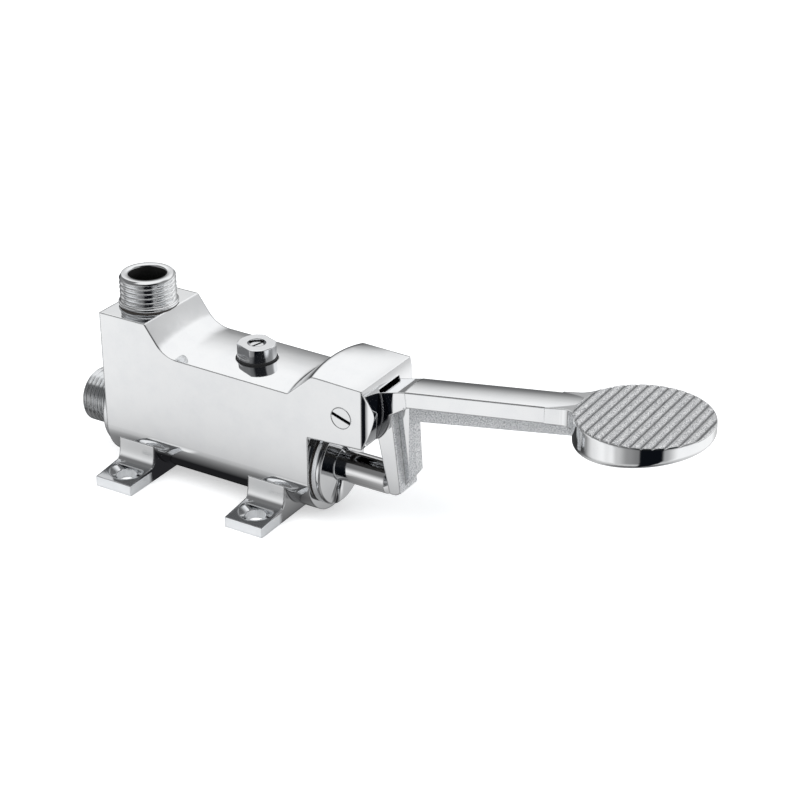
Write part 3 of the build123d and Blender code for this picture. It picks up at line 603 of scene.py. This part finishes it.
steps_per_turn, wire_sides = 36, 14
spring_winder, given, put = shape_tree("wind a coil spring", {
    "Turns": 7.2, "Coil radius": 5.2 * mm, "Wire radius": 0.6 * mm, "First x": 4 * mm, "Last x": 23.8 * mm,
    "Axis z": chamber_z, "Finish": "NodeSocketMaterial",
})
coil = add_node(spring_winder, "GeometryNodeCurveSpiral", Resolution=steps_per_turn, Height=0.0,
                Rotations=given["Turns"], Start_Radius=given["Coil radius"], End_Radius=given["Coil radius"])
share = spring_winder.nodes.new("GeometryNodeSplineParameter").outputs["Factor"]
one_turn = calc(spring_winder, "DIVIDE", 1.0, given["Turns"])
wire = product(spring_winder, given["Wire radius"], 2.0)
room = minus(spring_winder, minus(spring_winder, given["Last x"], given["First x"]), product(spring_winder, wire, 3.0))
first_turn = calc(spring_winder, "MINIMUM", calc(spring_winder, "DIVIDE", share, one_turn), 1.0)
past_last = minus(spring_winder, share, minus(spring_winder, 1.0, one_turn))
last_turn = largest(spring_winder, calc(spring_winder, "DIVIDE", past_last, one_turn), 0.0)
open_share = calc(spring_winder, "DIVIDE", minus(spring_winder, share, one_turn),
                  plus_share(spring_winder, 1.0, one_turn, -2.0))
open_share = calc(spring_winder, "MINIMUM", largest(spring_winder, open_share, 0.0), 1.0)
closed = product(spring_winder, calc(spring_winder, "ADD", first_turn, last_turn), wire)
first_x = calc(spring_winder, "ADD", given["First x"], given["Wire radius"])
along = calc(spring_winder, "ADD", plus_share(spring_winder, closed, open_share, room), first_x)
flat_x, flat_y, _ = split(spring_winder, spring_winder.nodes.new("GeometryNodeInputPosition").outputs[0])
stretched = vector(spring_winder, along, flat_x, calc(spring_winder, "ADD", flat_y, given["Axis z"]))
wound = moved(spring_winder, coil.outputs[0], Position=stretched)
section = add_node(spring_winder, "GeometryNodeCurvePrimitiveCircle", Resolution=wire_sides,
                   Radius=given["Wire radius"])
drawn = add_node(spring_winder, "GeometryNodeCurveToMesh", Curve=wound, Profile_Curve=section.outputs[0],
                 Fill_Caps=True)
give_shape(spring_winder, drawn.outputs[0], given["Finish"], put)

low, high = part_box("return_spring")
end_gap = 0.02 * mm
spring_piece = in_scene("return_spring_wound", bpy.data.meshes.new("return_spring_wound"))
grown(spring_piece, spring_winder, First_x=low.x + end_gap, Last_x=high.x - end_gap, Finish=spring_steel)
shape = bmesh.new()
shape.from_mesh(spring_piece.data)
bmesh.ops.recalc_face_normals(shape, faces=shape.faces)
shape.to_mesh(spring_piece.data)
shape.free()
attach(spring_piece, "valve_body")
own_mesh(spring_piece)
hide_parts("return_spring")


# Pedal lever: one brass casting, polished and chromed on the arm and the pad's rim, but left as it
# came from the sand on the rib underneath, on the front of the down-arm and on the ribbed pad.
sand_cast, given, put, place = effect(
    "sand cast skin", {"Grain size": 0.5 * mm, "Roughness": 0.3}, ("Height", "Roughness", "Shade")
)
pebble_scale = calc(sand_cast, "DIVIDE", 1.0, given["Grain size"])
pebble = add_node(sand_cast, "ShaderNodeTexVoronoi", Vector=place, Scale=pebble_scale).outputs["Distance"]
fine = noise(sand_cast, place, 0.25 * mm, 4.0, 0.65)
speck = noise(sand_cast, place, 0.45 * mm, 3.0, 0.7)
fill(sand_cast, put["Height"], plus_share(sand_cast, product(sand_cast, fine, 0.6), pebble, 0.6))
fill(sand_cast, put["Roughness"], plus_share(sand_cast, given["Roughness"], fine, 0.2))
fill(sand_cast, put["Shade"], ramp(sand_cast, speck, 0.40, 0.56))


def apart(tree, value, middle):
    """How far the value is from the middle, to either side."""
    return calc(tree, "ABSOLUTE", minus(tree, value, middle))


arm_slope, arm_start, arm_underside = 0.1575, 114.0 * mm, 53.1 * mm
rib_start, rib_end = 113.0 * mm, 178.5 * mm
down_arm_top, down_arm_back = 48.5 * mm, 108.0 * mm
pad_x, pad_rib_bottom, pad_radius = 199.5 * mm, 68.6 * mm, 22.9 * mm
rib_pitch, valley_middle = 3.3 * mm, 0.52
hub_x, hub_z, hub_radius, hub_front, hub_top = 94.1 * mm, 48.2 * mm, 13.4 * mm, 108 * mm, 56 * mm
grain_depth, lever_edge = 0.24 * mm, 0.7 * mm
hub_shade_grey, valley_shade_grey = (0.34, 0.345, 0.355), (0.20, 0.205, 0.21)
grain_dark, grain_light = (0.42, 0.43, 0.45), (0.97, 0.975, 0.98)

lever_chrome, tree, place = new_material("chromed pedal lever")
polish = place_effect(tree, hand_polish, Wave_size=16 * mm)
rough_skin = place_effect(tree, sand_cast, Grain_size=0.7 * mm, Roughness=0.22)
x, y, z = split(tree, place)
forward, _, up = facing_direction(tree)
under_line = plus_share(tree, arm_underside - arm_slope * arm_start, x, arm_slope)
rib_skin = product(tree, under(tree, z, minus(tree, under_line, 0.1 * mm)),
                   past(tree, x, rib_start), under(tree, x, rib_end))
front_skin = product(tree, ramp(tree, forward, 0.3, 0.45), under(tree, z, down_arm_top), past(tree, x, down_arm_back))
along_pad = minus(tree, x, pad_x)
pad_skin = product(tree, past(tree, z, pad_rib_bottom), ramp(tree, up, 0.1, 0.3),
                   under(tree, reach(tree, along_pad, y), pad_radius))
rib_share = calc(tree, "FRACT", calc(tree, "DIVIDE", along_pad, rib_pitch))
# Painted shade: the valleys between the pad's ribs are coloured darker grey.
valley_shade = product(tree, ramp(tree, apart(tree, rib_share, valley_middle), 0.02, 0.2, 1.0, 0.0), pad_skin)
off_hub = reach(tree, minus(tree, x, hub_x), minus(tree, z, hub_z))
on_hub = product(tree, under(tree, off_hub, hub_radius), under(tree, x, hub_front), under(tree, z, hub_top))
cast_skin = largest(tree, rib_skin, front_skin, pad_skin)
plated = blend_colour(tree, polish["Tarnish"], chrome_light, chrome_shade)
# Painted shade: the hub, which sits between the hood's cheeks, is coloured dark grey.
plated = blend_colour(tree, on_hub, plated, hub_shade_grey)
grained = blend_colour(tree, rough_skin["Shade"], grain_dark, grain_light)
grained = blend_colour(tree, valley_shade, grained, valley_shade_grey)
polished_share = product(tree, polish["Roughness"], minus(tree, 1.0, cast_skin))
smooth_normal = bump(tree, polish["Height"], polish_depth, softened_edges(tree, lever_edge))
dull = product(tree, cast_skin, plus_share(tree, 1.0, pad_skin, -0.75))
surface(
    tree,
    colour=blend_colour(tree, cast_skin, plated, grained),
    roughness=plus_share(tree, polished_share, cast_skin, rough_skin["Roughness"]),
    normal=bump(tree, product(tree, rough_skin["Height"], cast_skin), grain_depth, smooth_normal),
    metallic=plus_share(tree, 1.0, dull, -0.7),
)
dress(lever_chrome, "pedal_lever")


# Studio: a white table under a large soft ceiling light, in a dim room with a black screen beside the
# camera. The chrome mirrors all of it, and in the mirror the table darkens towards the valve on it.
table_edge = 3.0
table_glow = 0.5
table_mesh = bpy.data.meshes.new("table")
corners = [(side_x * table_edge, side_y * table_edge, 0) for side_x, side_y in ((-1, -1), (1, -1), (1, 1), (-1, 1))]
table_mesh.from_pydata(corners, [], [(0, 1, 2, 3)])
table = in_scene("table", table_mesh)


def mix_shaders(tree, share, first, second):
    """The first shader where the share is nought, the second where it is one."""
    node = tree.nodes.new("ShaderNodeMixShader")
    for socket, output in zip(node.inputs, (share, first, second)):
        tree.links.new(output, socket)
    return node.outputs[0]


white_table, tree, place = new_material("white table")
shader = tree.nodes["Principled BSDF"]
shader.inputs["Base Color"].default_value = (0.86, 0.865, 0.87, 1)
shader.inputs["Roughness"].default_value = 0.9
light_path = tree.nodes.new("ShaderNodeLightPath").outputs
seen_glow = product(tree, light_path["Is Camera Ray"], table_glow)
glow = add_node(tree, "ShaderNodeEmission", Color=(1.0, 1.0, 1.0, 1), Strength=seen_glow)
lit_table = tree.nodes.new("ShaderNodeAddShader")
tree.links.new(shader.outputs[0], lit_table.inputs[0])
tree.links.new(glow.outputs[0], lit_table.inputs[1])

# The shade on the table falls off from a box under the body, faster past the feet, and is lifted just
# before each foot.
x, y, z = split(tree, place)
shade_middle, shade_half_length, shade_half_width, shade_fade = 32 * mm, 34 * mm, 16 * mm, 47 * mm
foot_tips = 30 * mm
past_feet_speed, fade_power = 2.0, 0.82
beside = [calc(tree, "POWER", largest(tree, minus(tree, away, half), 0.0), 2.0)
          for away, half in ((apart(tree, x, shade_middle), shade_half_length),
                             (apart(tree, y, 0.0), shade_half_width))]
past_feet = largest(tree, minus(tree, calc(tree, "ABSOLUTE", y), foot_tips), 0.0)
away = plus_share(tree, calc(tree, "SQRT", calc(tree, "ADD", *beside)), past_feet, past_feet_speed)
faded = calc(tree, "POWER", calc(tree, "DIVIDE", away, shade_fade), fade_power)
shaded = calc(tree, "EXPONENT", product(tree, faded, -1.0))
close_by = product(tree, ramp(tree, past_feet, 0.0, 2 * mm), ramp(tree, past_feet, 4 * mm, 10 * mm, 1.0, 0.0))
for foot_x in foot_middles:
    before_foot = product(tree, ramp(tree, apart(tree, x, foot_x), 9 * mm, 13 * mm, 1.0, 0.0), close_by)
    shaded = product(tree, shaded, plus_share(tree, 1.0, before_foot, -0.85))
shade_colour = blend_colour(tree, shaded, (1.0, 1.0, 1.0), (0.02, 0.02, 0.022))
mirrored_table = add_node(tree, "ShaderNodeBsdfTransparent", Color=shade_colour)
both = mix_shaders(tree, light_path["Is Glossy Ray"], lit_table.outputs[0], mirrored_table.outputs[0])
tree.links.new(both, tree.nodes["Material Output"].inputs["Surface"])
table.data.materials.append(white_table)

# What the chrome mirrors, by bearing and height in degrees: the table below the horizon, the walls with
# the black screen to the right of the camera, and the bright ceiling, which starts higher on the left.
world = bpy.data.worlds.new("room")
bpy.context.scene.world = world
world.use_nodes = True
tree = world.node_tree
x, y, z = split(tree, tree.nodes.new("ShaderNodeTexCoord").outputs["Generated"])
degrees = 180 / math.pi
height = product(tree, calc(tree, "ARCSINE", z), degrees)
bearing = product(tree, calc(tree, "ARCTAN2", x, product(tree, y, -1.0)), degrees)


def around(tree, bearing, marks):
    """Brightness round the horizon from (bearing in degrees, brightness) marks."""
    node = tree.nodes.new("ShaderNodeValToRGB")
    node.color_ramp.interpolation = "EASE"
    stops = node.color_ramp.elements
    while len(stops) < len(marks):
        stops.new(0.5)
    for stop, (turn, level) in zip(stops, marks):
        stop.position = (turn + 180) / 360
    for stop, (turn, level) in zip(stops, marks):
        stop.color = (level, level, level, 1)
    fill(tree, node.inputs[0], plus_share(tree, 0.5, bearing, 1 / 360))
    return node.outputs[0]


def between(tree, share, first, second):
    """The first number where the share is nought, the second where it is one."""
    return plus_share(tree, first, minus(tree, second, first), share)


table_light = around(tree, bearing, (
    (-180, 0.62), (-160, 0.42), (-147, 0.05), (-118, 0.05), (-105, 0.2), (-88, 0.3), (-64, 0.86), (-45, 0.98),
    (-36, 0.86), (-28, 0.92), (-18, 0.58), (0, 0.28), (17, 0.2), (20, 0.0), (53, 0.0), (59, 0.4), (84, 1.0),
    (155, 1.0), (180, 0.62),
))
wall_light = around(tree, bearing, (
    (-180, 0.18), (-20, 0.17), (0, 0.13), (18, 0.008), (76, 0.01), (90, 0.25), (180, 0.35),
))
open_table = around(tree, bearing, ((-180, 0.7), (18, 0.6), (22, 0.0), (53, 0.0), (58, 0.6), (180, 0.7)))
open_table = product(tree, open_table, ramp(tree, height, -74, -56, 0.25, 1.0))
table_light = between(tree, ramp(tree, height, -52, -34, 1.0, 0.0), table_light, open_table)
screen_middle, left_side = 18.0, -85.0
left_ceiling, ceiling = 70.0, 56.0
behind = ramp(tree, apart(tree, bearing, screen_middle), 110, 136)
wall = between(tree, behind, wall_light, ramp(tree, height, 2, 34, 0.12, 1.0))
ceiling_edge = between(tree, ramp(tree, apart(tree, bearing, left_side), 25, 45), left_ceiling, ceiling)
wall = between(tree, ramp(tree, minus(tree, height, ceiling_edge), -7, 7), wall, 1.0)
level = between(tree, ramp(tree, height, -12, 20), table_light, wall)
tent_colour = blend_colour(tree, level, (0.004, 0.005, 0.007), (1.0, 1.0, 1.0))
tent = add_node(tree, "ShaderNodeBackground", Color=tent_colour)
white = add_node(tree, "ShaderNodeBackground", Color=(1, 1, 1, 1))
room = add_node(tree, "ShaderNodeBackground", Color=(0.95, 0.975, 1.0, 1), Strength=0.55)
light_path = tree.nodes.new("ShaderNodeLightPath").outputs
mirror = mix_shaders(tree, light_path["Is Glossy Ray"], room.outputs[0], tent.outputs[0])
seen = mix_shaders(tree, light_path["Is Camera Ray"], mirror, white.outputs[0])
tree.links.new(seen, tree.nodes["World Output"].inputs["Surface"])

valve_middle = Vector((0.10, 0.0, 0.04))
for name, spot, size, power in (("soft lamp above", (-0.25, -0.55, 0.95), 0.9, 6.2),
                                ("soft lamp right", (0.85, -0.15, 0.75), 0.7, 2.6)):
    lamp = bpy.data.lights.new(name, "AREA")
    lamp.shape = "SQUARE"
    lamp.size = size
    lamp.energy = power
    holder = in_scene(name, lamp)
    holder.location = spot
    holder.rotation_euler = (valve_middle - Vector(spot)).to_track_quat("-Z", "Y").to_euler()
    holder.visible_glossy = False

# The photo's view, fitted to its edges and rims: round, up and a slight roll, in degrees.
turn, rise, roll = math.radians(30.8), math.radians(26.76), math.radians(0.15)
aim, distance = Vector((0.10795, 0.0, 0.05182)), 0.67662
back = Vector((math.sin(turn) * math.cos(rise), -math.cos(turn) * math.cos(rise), math.sin(rise)))
right = Vector((math.cos(turn), math.sin(turn), 0.0))
up = back.cross(right)
right, up = math.cos(roll) * right + math.sin(roll) * up, math.cos(roll) * up - math.sin(roll) * right
camera = in_scene("camera", bpy.data.cameras.new("camera"))
camera.data.lens = 87.82
camera.data.sensor_width = 36.0
camera.data.clip_start = 0.01
turned = Matrix((right, up, back)).transposed().to_4x4()
camera.matrix_world = Matrix.Translation(aim + distance * back) @ turned
bpy.context.scene.camera = camera
bpy.context.scene.view_settings.view_transform = "Standard"
